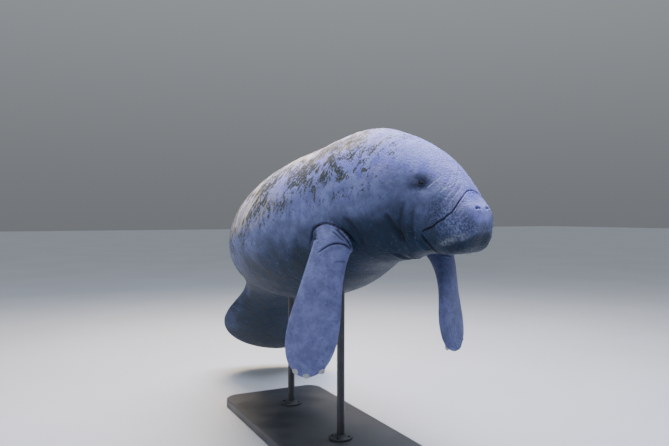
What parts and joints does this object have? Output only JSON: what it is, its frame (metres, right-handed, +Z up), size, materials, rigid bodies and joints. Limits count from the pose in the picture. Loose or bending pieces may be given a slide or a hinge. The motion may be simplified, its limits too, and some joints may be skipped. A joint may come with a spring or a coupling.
{
  "type": "manatee display model",
  "caption": "Life-size still model of a swimming manatee, head lowered and flippers hanging, held on a flat stand with short rods.",
  "frame": {"origin": "centre of the stand base's underside, on the ground", "axes": "+X the way the body heads, +Y the animal's left, +Z up"},
  "size_m": [2.1836, 0.7933, 1.1987],
  "materials": {
    "skin_head": "soft bluish-grey skin, wrinkled, matt",
    "skin": "soft bluish-grey skin with olive algae flecks on the back",
    "skin_low": "darker bluish-grey skin, matt",
    "skin_flipper": "bluish-grey skin, finely wrinkled",
    "nail": "cream horn",
    "eye": "dark glossy eye",
    "stand_base": "satin black painted board",
    "stand_metal": "satin dark grey paint"
  },
  "bodies": {
    "root": {"head": "skin_head", "neck": "skin", "torso": "skin", "tail_stock": "skin_low", "tail_paddle": "skin_low", "flipper_right": "skin_flipper", "flipper_left": "skin_flipper", "nail_right_1": "nail", "nail_right_2": "nail", "nail_right_3": "nail", "nail_left_1": "nail", "nail_left_2": "nail", "nail_left_3": "nail", "eye_right": "eye", "eye_left": "eye", "stand_base": "stand_base", "stand_rod_front": "stand_metal", "stand_rod_rear": "stand_metal", "stand_collar_front": "stand_metal", "stand_collar_rear": "stand_metal"}
  },
  "joints": []
}
